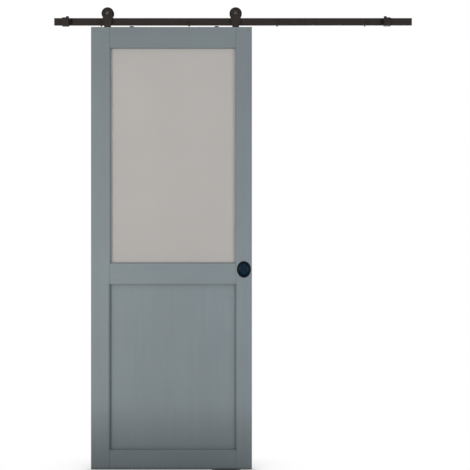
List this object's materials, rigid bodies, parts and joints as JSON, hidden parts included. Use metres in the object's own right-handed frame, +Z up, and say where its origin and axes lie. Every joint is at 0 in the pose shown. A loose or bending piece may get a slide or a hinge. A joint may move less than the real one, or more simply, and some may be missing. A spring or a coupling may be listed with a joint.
{
  "type": "glass sliding door",
  "caption": "Half glazed sliding door leaf on a flat bar track, with hangers, grooved wheels, end stops, flush pull and floor guide.",
  "frame": {"origin": "on the face of the wall, in the middle of the row of wall bolts that carry the track bar", "axes": "+X right along the track as seen from the room, +Y into the wall, +Z up"},
  "size_m": [1.656, 0.107, 2.1708],
  "materials": {
    "grey_paint": "satin blue-grey paint",
    "black_steel": "matte black powder coat",
    "black_nylon": "matte",
    "black_rubber": "matte",
    "grey_seal": "matte foam tape",
    "satin_glass": "satin, warm grey",
    "pull_enamel": "gloss blue-black enamel",
    "bare_wood": "planed",
    "bright_steel": "zinc plated"
  },
  "bodies": {
    "track": {"bumper_left": "black_rubber", "bumper_right": "black_rubber", "end_stop_left": "black_steel", "end_stop_right": "black_steel", "floor_guide": "bright_steel", "floor_guide_screws": "bright_steel", "stop_screws": "black_steel", "track_bar": "black_steel", "wall_bolts": "black_steel", "wall_spacer_1": "black_steel", "wall_spacer_2": "black_steel", "wall_spacer_3": "black_steel", "wall_spacer_4": "black_steel", "wall_washers": "black_steel"},
    "door": {"axle_bolt_left": "black_steel", "axle_bolt_right": "black_steel", "axle_nut_left": "black_steel", "axle_nut_right": "black_steel", "axle_sleeves": "bright_steel", "bead_pins": "bright_steel", "bearing_inner_ring_left": "bright_steel", "bearing_inner_ring_right": "bright_steel", "cap_washer_left": "black_steel", "cap_washer_right": "black_steel", "flush_pull": "pull_enamel", "frame_dowels": "bare_wood", "glass_pane": "satin_glass", "glazing_bead_bottom": "grey_paint", "glazing_bead_left": "grey_paint", "glazing_bead_right": "grey_paint", "glazing_bead_top": "grey_paint", "glazing_seal": "grey_seal", "hanger_left": "black_steel", "hanger_right": "black_steel", "hanger_screws": "bright_steel", "lower_panel": "grey_paint", "pull_screws": "pull_enamel", "rail_bottom": "grey_paint", "rail_middle": "grey_paint", "rail_top": "grey_paint", "retaining_disc_left": "black_steel", "retaining_disc_right": "black_steel", "retaining_disc_screws": "black_steel", "setting_blocks": "black_rubber", "stile_left": "grey_paint", "stile_right": "grey_paint"},
    "wheel_left": {"wheel_left": "black_nylon", "bearing_outer_ring_left": "bright_steel", "bearing_balls_left": "bright_steel"},
    "wheel_right": {"wheel_right": "black_nylon", "bearing_outer_ring_right": "bright_steel", "bearing_balls_right": "bright_steel"}
  },
  "joints": [
    {"name": "door_slide", "type": "slide", "parent": "track", "child": "door", "axis": [1, 0, 0], "range_m": [-0.1445, 0.6505]},
    {"name": "wheel_left_spin", "type": "hinge", "parent": "door", "child": "wheel_left", "pos_m": [-0.58, -0.03, 0.0373], "axis": [0, 1, 0], "continuous": true},
    {"name": "wheel_right_spin", "type": "hinge", "parent": "door", "child": "wheel_right", "pos_m": [0.012, -0.03, 0.0373], "axis": [0, 1, 0], "continuous": true}
  ],
  "couplings": [
    {"joint": "wheel_left_spin", "follows": "door_slide", "rad_per_m": 50},
    {"joint": "wheel_right_spin", "follows": "door_slide", "rad_per_m": 50}
  ]
}
